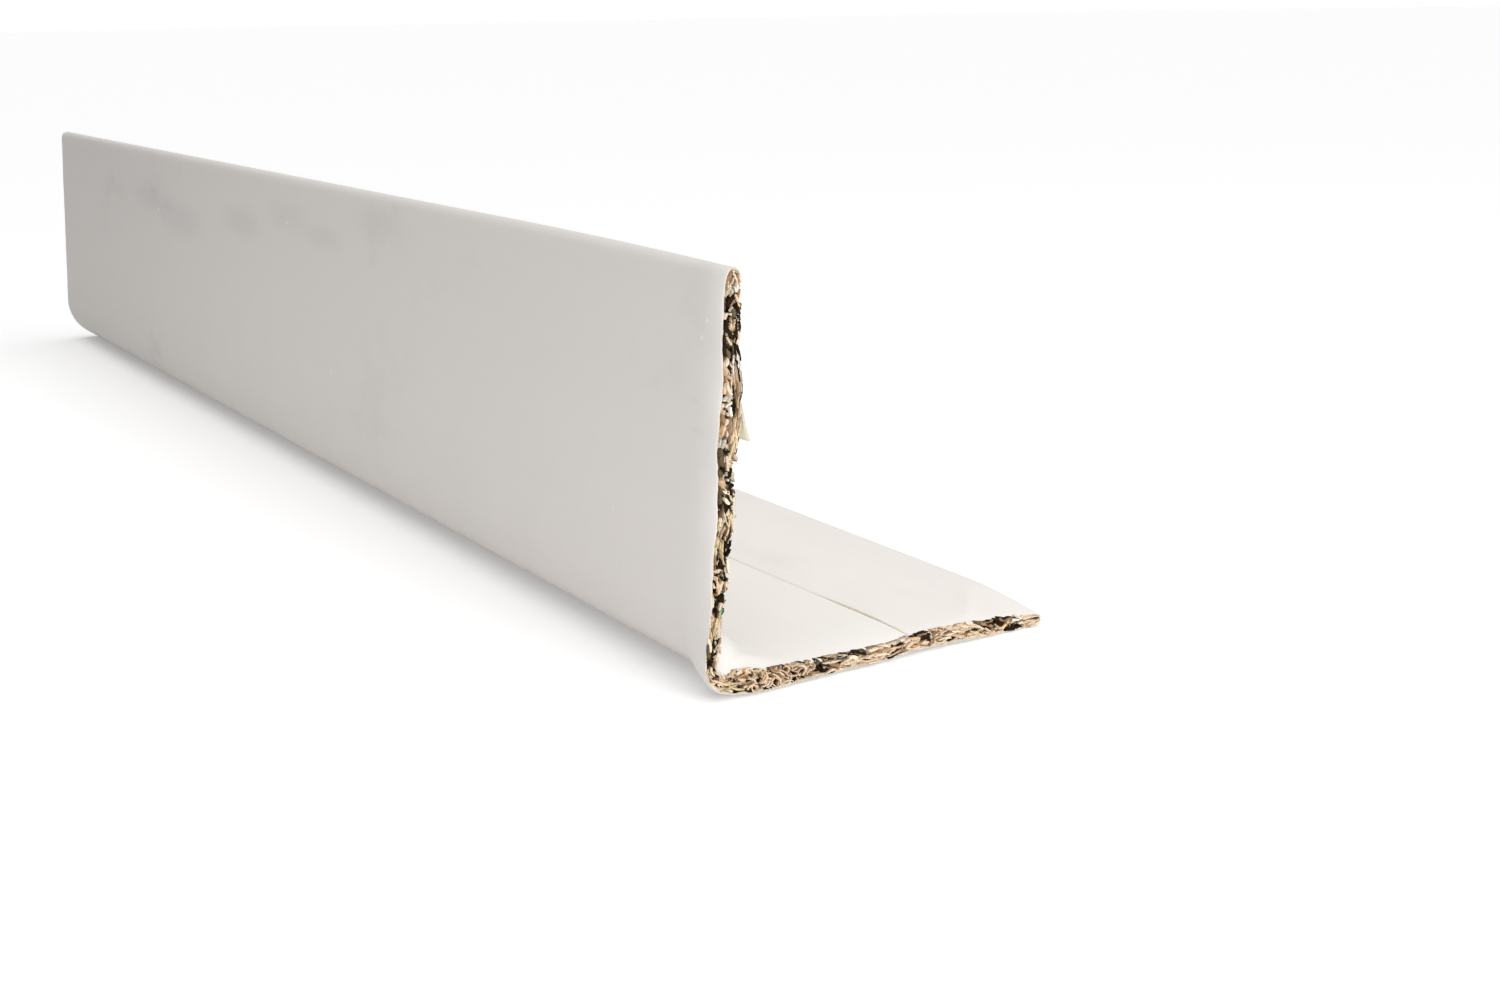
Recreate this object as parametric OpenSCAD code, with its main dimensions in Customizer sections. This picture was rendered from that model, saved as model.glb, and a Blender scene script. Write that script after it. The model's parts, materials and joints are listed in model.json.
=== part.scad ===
// Pallet edge protector: pressed paper-chip board bent into an angle, wrapped in white paper.
// The flat leg lies along +X, the upright leg stands over its -X end, and the bar runs along Y.
// The sheared end, with its squashed heel and loose paper corner, is at -Y. The far end is cut plain.
// The origin is the middle of the bar's box, on the surface that it lies on.

/* [Board] */
// Width of the flat leg, from the corner's apex to the leg's edge
flat_leg = 50; // [45:1:80]
// Width of the upright leg, from the corner's apex to the leg's edge
upright_leg = 50; // [45:1:80]
// Thickness of the finished board, papers included
board_t = 3; // [2:0.1:4]
// Length of the bar between its two cut ends
bar_len = 300; // [100:10:600]
// Angle inside the corner, between the two legs
corner_angle = 86; // [80:1:100]
// Outside radius of the heel along the bar
heel_r = 9; // [7:0.5:11]

/* [Sheared end] */
// Outside radius that the heel is squashed to at the cut
squash_r = 5.5; // [4.5:0.5:7]
// Length over which the heel goes from its own radius to the squashed one
squash_len = 8; // [4:1:20]
// Depth that the blade drew the outer face in at the cut
roll_depth = 0.4; // [0:0.1:0.8]
// Length over which the outer face is drawn in
roll_len = 1.8; // [0.5:0.1:4]

/* [Papers] */
// Thickness of one sheet of paper
paper_t = 0.3; // [0.15:0.05:0.4]
// Width of the wrap's tail inside the flat leg, from the leg's edge
flat_lap = 21.5; // [15:0.5:25]
// Width of the wrap's tail inside the upright leg, from the leg's edge
upright_lap = 20; // [15:0.5:25]
// Distance from each leg's edge to the edge of the liner under the tail
liner_inset = 8; // [5:1:12]

/* [Loose corner] */
// Width of the upright tail's loose corner, across the leg
loose_w = 11; // [6:1:12]
// Length of the upright tail's loose corner, along the bar
loose_len = 16; // [8:1:40]
// Height that the point of the loose corner curls off the leg
loose_lift = 1.3; // [0:0.1:4]

/* [Hidden] */

// Angle that the board turns through round the heel
bend = 180 - corner_angle;
// Steps round the heel, round a quarter of a leg's edge, across the loose corner and along the sheared end
heel_steps = 16;
edge_steps = 4;
loose_steps = 5;
end_steps = 12;

// Thicknesses of paper between the board's outer face and the core, and between its inner face and the core
plies_out = 1;
plies_in = 2;

near_end = -bar_len / 2;
far_end = bar_len / 2;

// Stations along the bar, closest together at the sheared end
shaped_len = max(squash_len, roll_len, loose_len);
stations = concat([for (i = [0 : end_steps]) near_end + shaped_len * pow(i / end_steps, 2)], [far_end]);

// Share of a stretch of the sheared end that lies behind a station, from 0 at the cut to 1
function behind(y, length) = min(1, (y - near_end) / length);
// Outside radius of the heel at a station, eased from the squashed radius to its own
function heel_at(y) = squash_r + (heel_r - squash_r) * (1 - cos(180 * behind(y, squash_len))) / 2;
// Depth of the board's outer face at a station, rounded in towards the cut
function face_at(y) = roll_depth * (1 - sqrt(1 - pow(1 - behind(y, roll_len), 2)));
// Height of the loose corner at a distance across the tail from its free edge
function lift_at(y, across_tail) =
  loose_lift * pow(max(0, 1 - across_tail / loose_w - behind(y, loose_len)), 2);

// Distance from the apex to where an arc of outside radius r meets a leg
function arc_start(r) = r * tan(bend / 2);

// Middle of the box across the bar, from the heel's lowest x or the upright leg's edge
edge_r = board_t / 2;
upright_edge_x = (upright_leg - edge_r) * cos(corner_angle) + edge_r * sin(corner_angle) - edge_r;
low_x = min(arc_start(heel_r) - heel_r, arc_start(squash_r) - squash_r, upright_edge_x);
mid_x = (low_x + flat_leg) / 2;

// Points of the flat leg, given by distance from the apex and depth, carried over to the upright leg
function on_upright(points) = [for (p = points) [
  p[0] * cos(corner_angle) + p[1] * sin(corner_angle),
  p[0] * sin(corner_angle) - p[1] * cos(corner_angle)
]];
function flipped(points) = [for (i = [len(points) - 1 : -1 : 0]) points[i]];

// Line round the heel at a depth
function heel_line(y, depth) = [for (i = [0 : heel_steps])
  let (a = 270 - bend * i / heel_steps, r = heel_at(y))
  [arc_start(r) + (r - depth) * cos(a), r + (r - depth) * sin(a)]];

// Line round a leg's edge, so many plies inside the wrap, between two angles in quarter turns
function edge_line(leg, y, plies, from, to) =
  let (r = (board_t - face_at(y)) / 2, steps = abs(to - from) * edge_steps)
  [for (i = [0 : steps])
    let (a = 90 * (from + (to - from) * i / steps), ply_r = r - plies * paper_t)
    [leg - edge_r + ply_r * cos(a), board_t - r + ply_r * sin(a)]];

// A line along one leg, round the heel and along the other leg
function whole_line(flat_points, heel_points, upright_points) =
  concat(flat_points, heel_points, on_upright(flipped(upright_points)));

// One side of a layer and the other side, both from the flat leg to the upright one, as a ring at a station
function ring(y, outside, inside) =
  [for (p = concat(outside, flipped(inside))) [p[0] - mid_x, y, p[1]]];

// Joins rings of equally many points into one solid, with strips across the layer closing its ends.
// Both sides of a layer are split along the same diagonals, so that layers meet face to face.
module loft(rings) {
  count = len(rings[0]);
  steps = len(rings) - 1;
  last = steps * count;
  sides = [for (i = [0 : steps - 1]) for (j = [0 : count - 1])
    let (k = (j + 1) % count, here = i * count, next = here + count)
    each j < count / 2
      ? [[here + j, next + k, here + k], [here + j, next + j, next + k]]
      : [[here + j, next + j, here + k], [next + j, next + k, here + k]]];
  caps = [for (j = [0 : count / 2 - 2])
    let (k = count - 1 - j)
    each [[j, j + 1, k - 1, k], [last + j, last + k, last + k - 1, last + j + 1]]];
  polyhedron([for (points = rings) each points], concat(sides, caps));
}

// Outer side of the core on one leg, from the middle of the leg's edge
function core_outside(leg, y) = concat(
  edge_line(leg, y, plies_out, 0, -1),
  [for (x = [liner_inset - paper_t, liner_inset + paper_t]) [leg - x, face_at(y) + plies_out * paper_t]]
);

// Inner side of the core on one leg, stepped down under the liner
function core_inside(leg, y) = concat(
  edge_line(leg, y, plies_out, 1 / edge_steps, 1),
  [[leg - edge_r - paper_t, board_t - paper_t]],
  [for (plies = [1, plies_in]) [leg - liner_inset, board_t - plies * paper_t]]
);

module chip_core() {
  color("#b98a5a") loft([for (y = stations) ring(y,
    whole_line(core_outside(flat_leg, y), heel_line(y, face_at(y) + plies_out * paper_t),
      core_outside(upright_leg, y)),
    whole_line(core_inside(flat_leg, y), heel_line(y, board_t - plies_in * paper_t),
      core_inside(upright_leg, y)))]);
}

// One side of the liner, so many plies below the board's inner face
function liner_line(y, plies) =
  let (depth = board_t - plies * paper_t)
  whole_line([[flat_leg - liner_inset, depth]], heel_line(y, depth), [[upright_leg - liner_inset, depth]]);

module inner_liner() {
  color("#ebe8e4") loft([for (y = stations) ring(y, liner_line(y, plies_in), liner_line(y, 1))]);
}

// One side of the wrap on one leg, from the tail's free edge round the leg's edge to the outer face
function wrap_leg(leg, lap, y, plies, loose) = concat(
  [for (i = [0 : loose_steps])
    let (x = loose_w * i / loose_steps)
    [leg - lap + x, board_t - plies * paper_t + (loose ? lift_at(y, x) : 0)]],
  edge_line(leg, y, plies, 1, -1)
);

// One side of the wrap, so many plies below its outside
function wrap_line(y, plies) = whole_line(
  wrap_leg(flat_leg, flat_lap, y, plies, false),
  heel_line(y, face_at(y) + plies * paper_t),
  wrap_leg(upright_leg, upright_lap, y, plies, true)
);

module outer_wrap() {
  color("#dad6d2") loft([for (y = stations) ring(y, wrap_line(y, 0), wrap_line(y, plies_out))]);
}

chip_core();
outer_wrap();
inner_liner();
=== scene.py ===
# %% [markdown]
# # Pallet edge protector
# An edge protector is an angle of pressed paper chips, wrapped in white paper. It lies over the edges of
# a loaded pallet, so that the straps don't cut into the boxes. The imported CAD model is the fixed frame
# here: it gives the place and the size of each layer, and this script gives each layer the looks of paper
# and of torn chips.

# %% Load the frame
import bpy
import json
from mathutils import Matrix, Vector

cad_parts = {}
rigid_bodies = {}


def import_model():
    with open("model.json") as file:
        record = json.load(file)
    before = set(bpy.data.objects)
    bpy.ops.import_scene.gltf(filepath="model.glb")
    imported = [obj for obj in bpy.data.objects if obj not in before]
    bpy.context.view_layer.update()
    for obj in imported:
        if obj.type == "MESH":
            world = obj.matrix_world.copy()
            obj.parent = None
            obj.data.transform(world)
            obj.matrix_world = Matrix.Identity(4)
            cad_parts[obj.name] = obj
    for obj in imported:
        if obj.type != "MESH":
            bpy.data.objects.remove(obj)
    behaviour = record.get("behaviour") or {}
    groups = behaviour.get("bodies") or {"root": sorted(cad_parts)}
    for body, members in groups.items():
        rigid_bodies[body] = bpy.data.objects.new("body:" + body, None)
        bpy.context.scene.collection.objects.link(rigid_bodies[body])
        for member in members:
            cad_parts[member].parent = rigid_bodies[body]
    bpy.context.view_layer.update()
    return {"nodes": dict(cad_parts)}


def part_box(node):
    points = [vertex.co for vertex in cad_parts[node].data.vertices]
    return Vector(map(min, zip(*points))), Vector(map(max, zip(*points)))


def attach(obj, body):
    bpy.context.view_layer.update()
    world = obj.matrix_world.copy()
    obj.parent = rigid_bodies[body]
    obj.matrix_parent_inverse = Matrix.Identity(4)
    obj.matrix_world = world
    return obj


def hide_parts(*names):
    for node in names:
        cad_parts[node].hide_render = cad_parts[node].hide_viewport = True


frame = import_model()
print("CAD nodes:", sorted(frame["nodes"]))

# %% Tools
import json
import math
import random

import bmesh
import bpy
from mathutils import Matrix, Vector, noise

mm = 0.001

# %% [markdown]
# ## The board's own coordinates
# Everything on this object follows the bent board, so it is easier to think in the board's own directions
# than in X and Z. `across` is measured along the outer face from the middle of the heel: it is negative
# on the flat leg and positive on the upright leg. `depth` is measured from the outer face into the board.
# The upright leg is the flat leg reflected in the plane that halves the corner, so one set of formulas
# serves both.

# %% Sizes of the board
wrap_low, wrap_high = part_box("outer_wrap")
near_y = wrap_low.y
far_y = wrap_high.y
leg = 50 * mm
board = 3 * mm
paper = 0.3 * mm
edge_radius = board / 2
corner = math.radians(86)
bend = math.pi - corner
heel_radius = 9 * mm
apex_x = wrap_high.x - leg
print("bar length", round((far_y - near_y) / mm, 1), "mm, outer corner at x =", round(apex_x / mm, 2), "mm")


# %% From the board's coordinates to the frame and back
def arc_start(radius):
    """Distance from the outer corner at which the heel's arc begins."""
    return radius * math.tan(bend / 2)


def other_leg(x, z):
    """The same point on the other leg."""
    return x * math.cos(corner) + z * math.sin(corner), x * math.sin(corner) - z * math.cos(corner)


def section_point(across, depth, radius):
    """X from the outer corner, and Z, of a point of a section whose heel has this radius."""
    side = abs(across)
    half_arc = radius * bend / 2
    if side >= half_arc:
        x = arc_start(radius) + side - half_arc
        z = depth
    else:
        angle = (half_arc - side) / radius
        x = arc_start(radius) - (radius - depth) * math.sin(angle)
        z = radius - (radius - depth) * math.cos(angle)
    if across > 0:
        x, z = other_leg(x, z)
    return x, z


def board_place(x, z):
    """Across and depth of a point of the plain section."""
    on_flat = math.atan2(z, x) < corner / 2
    if not on_flat:
        x, z = other_leg(x, z)
    half_arc = heel_radius * bend / 2
    start = arc_start(heel_radius)
    if x >= start:
        side = half_arc + x - start
        depth = z
    else:
        side = half_arc - heel_radius * math.atan2(start - x, heel_radius - z)
        depth = heel_radius - math.hypot(start - x, heel_radius - z)
    return (-side if on_flat else side), depth


def across_at(distance):
    """Across, on either leg, of a place at this distance from the outer corner."""
    return distance - arc_start(heel_radius) + heel_radius * bend / 2


def distance_at(across):
    """Distance from the outer corner of a place on either leg."""
    return abs(across) + arc_start(heel_radius) - heel_radius * bend / 2


print("heel arc", round(heel_radius * bend / mm, 1), "mm")
print("leg edge at across =", round(across_at(leg) / mm, 1), "mm")

# %% [markdown]
# ## The sheared end
# The cut-off knife presses the board as it goes through: the heel is squashed sharper, the outer face is
# rolled in at the cut, the flat leg's inner face slopes down to it, the edges of both legs are pinched
# thin, and the upright leg's edge sinks a little. A lattice could bend the finished meshes, but then each
# layer would need its own. One function that moves any point of the plain bar to its place in the pressed
# bar keeps all the layers in touch.

# %% Measures of the sheared end
squash_radius = 4.2 * mm
squash_length = 8 * mm
squash_margin = 3 * mm
roll_length = 4 * mm
swell_length = 5 * mm
# Measures along each leg at the cut: distances from the outer corner, then measures, in mm.
# How deep the outer face is rolled in:
flat_roll = [(2.2, 0.4), (4, 0.6), (8, 0.25), (11, 0.15), (17, 0.3), (21, 0.2), (25, 0.35), (32, 0.6)]
flat_roll += [(35, 0.5), (39, 0.2), (45, 0.0), (50, 0.0)]
upright_roll = [(2.2, 0.4), (6, 0.05), (11, 0.25), (17, 0.75), (22, 0.75), (28, 0.7), (33, 0.5)]
upright_roll += [(36, 0.75), (41, 0.55), (46, 0.55), (50, 0.6)]
# How much thicker or thinner the board is:
flat_swell = [(2.2, -0.3), (4, 0.6), (6, 0.7), (9, 0.2), (17, 0.0), (25, -0.2), (32, 0.2), (39, 0.0)]
flat_swell += [(45, -0.05), (50, -0.25)]
upright_swell = [(2.2, -0.3), (6, -1.0), (11, -0.5), (17, -0.1), (22, 0.1), (28, 0.1), (34, 0.4)]
upright_swell += [(41, 0.1), (50, 0.0)]
# How far the flat leg's inner face slopes down to the cut:
flat_slope = [(2.2, 0.0), (8, 0.3), (50, 0.3)]
slope_length = 9 * mm
flat_pinch = 0.75 * mm
upright_pinch = 0.35 * mm
pinch_start = 37 * mm
pinch_length = 13 * mm
sink = 0.55 * mm
sink_length = 55 * mm
ripple = 0.05 * mm
roll_uneven = 0.5
lip_share = 0.2
print("heel squashed from", round(heel_radius / mm, 1), "to", round(squash_radius / mm, 1), "mm")

# %% Press the sheared end
def behind(y, length):
    """Share of a length that a station lies behind the sheared end, from 0 to 1."""
    return min(1.0, max(0.0, (y - near_y) / length))


def ease(share):
    """Smooth step from 0 to 1."""
    share = min(1.0, max(0.0, share))
    return share * share * (3 - 2 * share)


def measure_at(places, across):
    """Measure between the nearest two of a list of given places."""
    distance = distance_at(across) / mm
    for (start, low), (end, high) in zip(places, places[1:]):
        if distance < end:
            return (low + (high - low) * ease((distance - start) / (end - start))) * mm
    return places[-1][1] * mm


def pressed(across, depth, y):
    """Place in the frame of a point of the plain bar, after the shear has pressed its end."""
    radius = squash_radius + (heel_radius - squash_radius) * ease(behind(y, squash_length))
    fixed = across_at(arc_start(heel_radius) + squash_margin)
    squashed = radius * bend / 2 + arc_start(heel_radius) + squash_margin - arc_start(radius)
    side = abs(across)
    side = side * squashed / fixed if side < fixed else side + squashed - fixed
    distance = distance_at(across)
    most_roll = measure_at(upright_roll if across > 0 else flat_roll, across)
    uneven = 1 + roll_uneven * noise.noise(Vector((across * 170, 0.4, 9.1)))
    near = 1 - behind(y, roll_length)
    lip = 1 - math.sqrt(1 - near ** 2)
    roll = most_roll * uneven * ((1 - lip_share) * near ** 2 + lip_share * lip)
    most_swell = measure_at(upright_swell if across > 0 else flat_swell, across)
    swell = most_swell * (1 - ease(behind(y, swell_length)))
    most_pinch = upright_pinch if across > 0 else flat_pinch
    out = ease((distance - pinch_start) / (leg - pinch_start))
    pinch = most_pinch * out * (1 - ease(behind(y, pinch_length)))
    slope = 0.0 if across > 0 else measure_at(flat_slope, across) * (1 - behind(y, slope_length)) ** 2
    depth = roll + depth * (1 + (swell - roll - pinch - slope) / board)
    wave = ripple * noise.noise(Vector((across * 55, y * 38, 4.7)))
    depth += wave if across > 0 else wave * max(0.0, depth / board)
    if across > 0:
        side -= sink * (1 - behind(y, sink_length)) ** 2 * ease(distance / leg)
    x, z = section_point(math.copysign(side, across), depth, radius)
    return Vector((apex_x + x, y, z))


top = pressed(across_at(leg), edge_radius, near_y)
print("upright edge at the cut:", [round(c / mm, 2) for c in top])

# %% [markdown]
# ## Drawing a section
# A sheet of paper that follows the board is a line of the section, pulled along the bar. The line starts
# as one vertex. Extruding the vertex draws the straight runs and spinning it draws the arcs, as a pencil
# and a compass would. The long edges are then subdivided, so that the sheet has points enough to bend.

# %% Pencil and compass
tip_steps = 8
heel_steps = 22
across_pitch = 0.7 * mm


def start_line(sheet, x, z):
    """Puts down the pencil at a point of the section."""
    return sheet.verts.new((apex_x + x, near_y, z))


def line_to(sheet, vert, x, z):
    """Draws a straight run."""
    drawn = bmesh.ops.extrude_vert_indiv(sheet, verts=[vert])["verts"][0]
    drawn.co = (apex_x + x, near_y, z)
    return drawn


def arc_round(sheet, vert, x, z, angle, steps):
    """Draws an arc round a point of the section."""
    centre = (apex_x + x, near_y, z)
    swept = bmesh.ops.spin(sheet, geom=[vert], cent=centre, axis=(0, 1, 0), angle=angle, steps=steps)
    return next(part for part in swept["geom_last"] if isinstance(part, bmesh.types.BMVert))


def refine_line(sheet, pitch):
    """Cuts the long edges of a line to about one pitch each."""
    for edge in [edge for edge in sheet.edges if edge.calc_length() > 1.5 * pitch]:
        cuts = round(edge.calc_length() / pitch) - 1
        bmesh.ops.subdivide_edges(sheet, edges=[edge], cuts=cuts)


# %% Stations along the bar
near_zone = 30 * mm
near_steps = 36
plain_step = 5 * mm
far_steps = [0.992, 0.997, 1.0]

bar_length = far_y - near_y
stations = [near_y + near_zone * (i / near_steps) ** 2 for i in range(near_steps + 1)]
plain_count = int((bar_length - near_zone) / plain_step) - 1
stations += [near_y + near_zone + plain_step * (i + 1) for i in range(plain_count)]
stations += [near_y + bar_length * share for share in far_steps]


def pull_along(sheet, places):
    """Extrudes a section's edges from station to station."""
    for vert in sheet.verts:
        vert.co.y = places[0]
    edges = list(sheet.edges)
    for place in places[1:]:
        pulled = bmesh.ops.extrude_edge_only(sheet, edges=edges)["geom"]
        new_verts = {part for part in pulled if isinstance(part, bmesh.types.BMVert)}
        new_edges = [part for part in pulled if isinstance(part, bmesh.types.BMEdge)]
        edges = [edge for edge in new_edges if set(edge.verts) <= new_verts]
        for vert in new_verts:
            vert.co.y = place


print(len(stations), "stations")

# %% [markdown]
# ## Shader sums
# A finish is a tree of nodes. Wrapping a socket in a small class lets the tree be written as sums, such
# as `1 - mask`, and each sum adds its Math node. One method adds every other kind of node.


# %% The shader helpers
class Value:
    """A node's output that can be used in sums."""

    def __init__(self, finish, socket):
        self.finish = finish
        self.socket = socket

    def maths(self, operation, first, second):
        return self.finish.node("ShaderNodeMath", {"operation": operation}, {0: first, 1: second})

    def __add__(self, other):
        return self.maths("ADD", self, other)

    def __radd__(self, other):
        return self.maths("ADD", other, self)

    def __sub__(self, other):
        return self.maths("SUBTRACT", self, other)

    def __rsub__(self, other):
        return self.maths("SUBTRACT", other, self)

    def __mul__(self, other):
        return self.maths("MULTIPLY", self, other)

    def __rmul__(self, other):
        return self.maths("MULTIPLY", other, self)


class Finish:
    """A material with one principled shader."""

    def __init__(self, name, constants):
        self.material = bpy.data.materials.new(name)
        self.material.use_nodes = True
        self.tree = self.material.node_tree
        self.shader = self.tree.nodes["Principled BSDF"]
        for socket, value in constants.items():
            self.shader.inputs[socket].default_value = value

    def join(self, value, socket):
        if isinstance(value, Value):
            self.tree.links.new(value.socket, socket)
        else:
            socket.default_value = value

    def node(self, kind, settings, inputs, output=0):
        made = self.tree.nodes.new(kind)
        for name, value in settings.items():
            setattr(made, name, value)
        for name, value in inputs.items():
            self.join(value, made.inputs[name])
        return Value(self, made.outputs[output])

    def mix(self, blend, factor, first, second):
        settings = {"data_type": "RGBA", "blend_type": blend}
        return self.node("ShaderNodeMix", settings, {0: factor, 6: first, 7: second}, 2)

    def noise(self, place, scale, detail, roughness=0.5):
        inputs = {"Vector": place, "Scale": scale, "Detail": detail, "Roughness": roughness}
        return self.node("ShaderNodeTexNoise", {}, inputs, "Fac")

    def step(self, value, start, end):
        inputs = {"Value": value, "From Min": start, "From Max": end}
        return self.node("ShaderNodeMapRange", {"interpolation_type": "SMOOTHSTEP"}, inputs)

    def stretch(self, place, scale):
        return self.node("ShaderNodeVectorMath", {"operation": "MULTIPLY"}, {0: place, 1: scale})

    def spot(self, place, centre, radius):
        gap = self.node("ShaderNodeVectorMath", {"operation": "DISTANCE"}, {0: place, 1: centre}, "Value")
        return 1 - self.step(gap, 0.1 * radius, radius)

    def bump(self, height, strength, distance):
        inputs = {"Strength": strength, "Distance": distance, "Height": height}
        return self.node("ShaderNodeBump", {}, inputs, "Normal")

    def feed(self, sockets):
        for name, value in sockets.items():
            self.join(value, self.shader.inputs[name])
        return self.material


def paint(red, green, blue):
    """Colour of the given screen values, as the shader wants it."""
    shares = [value / 255 for value in (red, green, blue)]
    return tuple(((share + 0.055) / 1.055) ** 2.4 for share in shares) + (1,)


# %% [markdown]
# ## White paper
# The wrap is a smooth machine-finished white paper. Close to, it isn't flat white: it has a cloudy look
# from its fibres, faint stripes along the bar from the rollers, grey rub marks from handling and a few
# specks.
# Its outer face also has painted shade: it is made darker towards the upright's top edge and towards the
# far end.
# The chips under it show through as soft bumps. The gloss is low. All of it lies on Object coordinates,
# which are the bar's own metres.


# %% White paper's finish
mark_squeeze = 0.25
mark_ragged = 1.2 * mm
chip_bump = 0.12 * mm


def white_paper(name, colour, rub_and_shade, pale_marks, grey_marks):
    """White paper with its clouds, stripes, rub marks and painted shade, and with the marks that are given.
    """
    finish = Finish(name, {"IOR": 1.45, "Specular IOR Level": 0.1})
    place = finish.node("ShaderNodeTexCoord", {}, {}, "Object")
    cloud = finish.noise(place, 90, 4, 0.6)
    fibre = finish.noise(finish.stretch(place, (1, 0.25, 1)), 2600, 3, 0.6)
    stripe = finish.noise(finish.stretch(place, (1, 0.03, 1)), 420, 2)
    chips = finish.noise(finish.stretch(place, (1, 0.7, 1)), 330, 2, 0.45)
    rub_place = finish.stretch(place, (1, 0.6, 1))
    rub = finish.step(finish.noise(rub_place, 55, 5, 0.65), 0.56, 0.74)
    along = finish.node("ShaderNodeSeparateXYZ", {}, {0: place}, "Y")
    height = finish.node("ShaderNodeSeparateXYZ", {}, {0: place}, "Z")
    rub = rub * rub_and_shade * (0.3 + 0.3 * finish.step(along, -0.06, 0.06))
    outer_side = finish.node("ShaderNodeAttribute", {"attribute_name": "outer_side"}, {}, "Fac")
    # Painted shade: the outer face is made darker towards the upright's top edge and towards the far end.
    top_far_shade = finish.step(height + 0.012 * cloud, 0.02, 0.062) + finish.step(along, -0.02, 0.14)
    top_far_shade = 0.5 * rub_and_shade * outer_side * top_far_shade
    dot = finish.node("ShaderNodeTexVoronoi", {}, {"Vector": place, "Scale": 120}, "Distance")
    speck = (1 - finish.step(dot, 0.03, 0.06)) * finish.step(finish.noise(place, 30, 1), 0.5, 0.62)
    jitter = finish.node("ShaderNodeTexNoise", {}, {"Vector": place, "Scale": 260}, "Color")
    shift = {0: jitter, 1: (mark_ragged,) * 3, 2: place}
    ragged = finish.node("ShaderNodeVectorMath", {"operation": "MULTIPLY_ADD"}, shift)
    drawn = finish.stretch(ragged, (1, mark_squeeze, 1))
    for (x, y, z), radius, strength in grey_marks:
        rub = rub + strength * finish.spot(drawn, (x, mark_squeeze * y, z), radius)
    for centre, radius, strength in pale_marks:
        speck = speck + strength * finish.spot(place, centre, radius)
    shade = 0.955 + 0.05 * cloud + 0.018 * fibre + 0.022 * stripe
    grey = finish.node("ShaderNodeCombineColor", {}, {0: shade, 1: shade, 2: shade})
    base = finish.mix("MULTIPLY", 1.0, colour, grey)
    # This grey is laid on by the real rub marks and by the painted shade.
    base = finish.mix("MIX", rub + top_far_shade, base, paint(176, 175, 174))
    base = finish.mix("MIX", 0.8 * speck, base, paint(250, 249, 246))
    bumps = 0.55 * chips + 0.12 * fibre + 0.25 * speck
    normal = finish.bump(bumps, 0.35, chip_bump)
    gloss = 0.46 + 0.14 * cloud + 0.1 * fibre + 0.2 * rub
    return finish.feed({"Base Color": base, "Roughness": gloss, "Normal": normal})


def outer_mark(from_near, distance, radius, strength):
    """A mark on the outer face: distances from the near cut and the outer corner, and radius, in mm."""
    x, z = other_leg(distance * mm, 0)
    return (apex_x + x, near_y + from_near * mm, z), radius * mm, strength


pale_marks = [outer_mark(2.6, 43.4, 0.4, 0.9), outer_mark(3.5, 41.4, 0.4, 0.8)]
grey_marks = [outer_mark(6.2, 35.2, 0.8, 0.3), outer_mark(3.2, 31.8, 0.9, 0.3), outer_mark(97, 46, 4, 0.1)]
grey_marks += [outer_mark(122, 42, 3, 0.12), outer_mark(139, 44, 4, 0.1), outer_mark(164, 41, 4, 0.14)]
grey_marks += [outer_mark(202, 38, 5, 0.14), outer_mark(223, 41, 5, 0.14)]
wrap_white = white_paper("wrap_white", paint(237, 232, 227), 0.3, pale_marks, grey_marks)
liner_white = white_paper("liner_white", paint(238, 234, 229), 0.12, [], [])
print("white papers:", wrap_white.name, liner_white.name)

# %% [markdown]
# The back of the wrap is not bleached: it is a warm cream with loose fibres and traces of glue. It shows
# where a tail stands off the board, and at the cut the paper's own thickness shows as a pale, slightly
# furry line. Thin paper lets some of the light through, which a little glow on the back stands for.


# %% Back and cut edge of the paper
fibre_bump = 0.1 * mm


def bare_paper(name, colour, dark, scale, glow):
    """Unbleached or torn paper with loose fibres."""
    finish = Finish(name, {"IOR": 1.45, "Specular IOR Level": 0.15, "Emission Strength": glow})
    place = finish.node("ShaderNodeTexCoord", {}, {}, "Object")
    fibre = finish.noise(finish.stretch(place, (1, 0.4, 1)), scale, 4, 0.65)
    cloud = finish.noise(place, 220, 3)
    base = finish.mix("MIX", finish.step(0.6 * fibre + 0.4 * cloud, 0.42, 0.62), dark, colour)
    normal = finish.bump(fibre, 0.5, fibre_bump)
    rough = 0.8 + 0.15 * cloud
    return finish.feed({"Base Color": base, "Roughness": rough, "Normal": normal, "Emission Color": base})


paper_back = bare_paper("paper_back", paint(240, 236, 216), paint(226, 219, 192), 1800, 0.3)
paper_edge = bare_paper("paper_edge", paint(232, 227, 217), paint(214, 206, 188), 3200, 0.0)
print("bare papers:", paper_back.name, paper_edge.name)

# %% [markdown]
# ## Making a sheet into a piece
# A sheet is drawn as its visible face. A Solidify modifier gives it the paper's thickness towards the
# board, and its material offsets put the cream back and the pale cut edge on the faces that it adds. The
# visible face has to point away from the board first, or the paper would grow outwards.


# %% Finish a sheet
def face_outwards(sheet, test):
    """Turns an open sheet round if the face nearest a test point doesn't look along the test direction."""
    point, direction = test
    sheet.faces.ensure_lookup_table()
    nearest = min(sheet.faces, key=lambda face: (face.calc_center_median() - point).length)
    nearest.normal_update()
    if nearest.normal.dot(direction) < 0:
        bmesh.ops.reverse_faces(sheet, faces=sheet.faces)


def make_piece(name, sheet, materials, nodes, smooth=True):
    """Turns a bmesh into a piece that rides on the bar and stands for CAD nodes."""
    for face in sheet.faces:
        face.smooth = smooth
    mesh = bpy.data.meshes.new(name)
    sheet.to_mesh(mesh)
    sheet.free()
    for material in materials:
        mesh.materials.append(material)
    piece = bpy.data.objects.new(name, mesh)
    bpy.context.scene.collection.objects.link(piece)
    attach(piece, "root")
    for node in nodes:
        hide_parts(node)
    print(name, len(mesh.polygons), "faces")
    return piece


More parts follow.
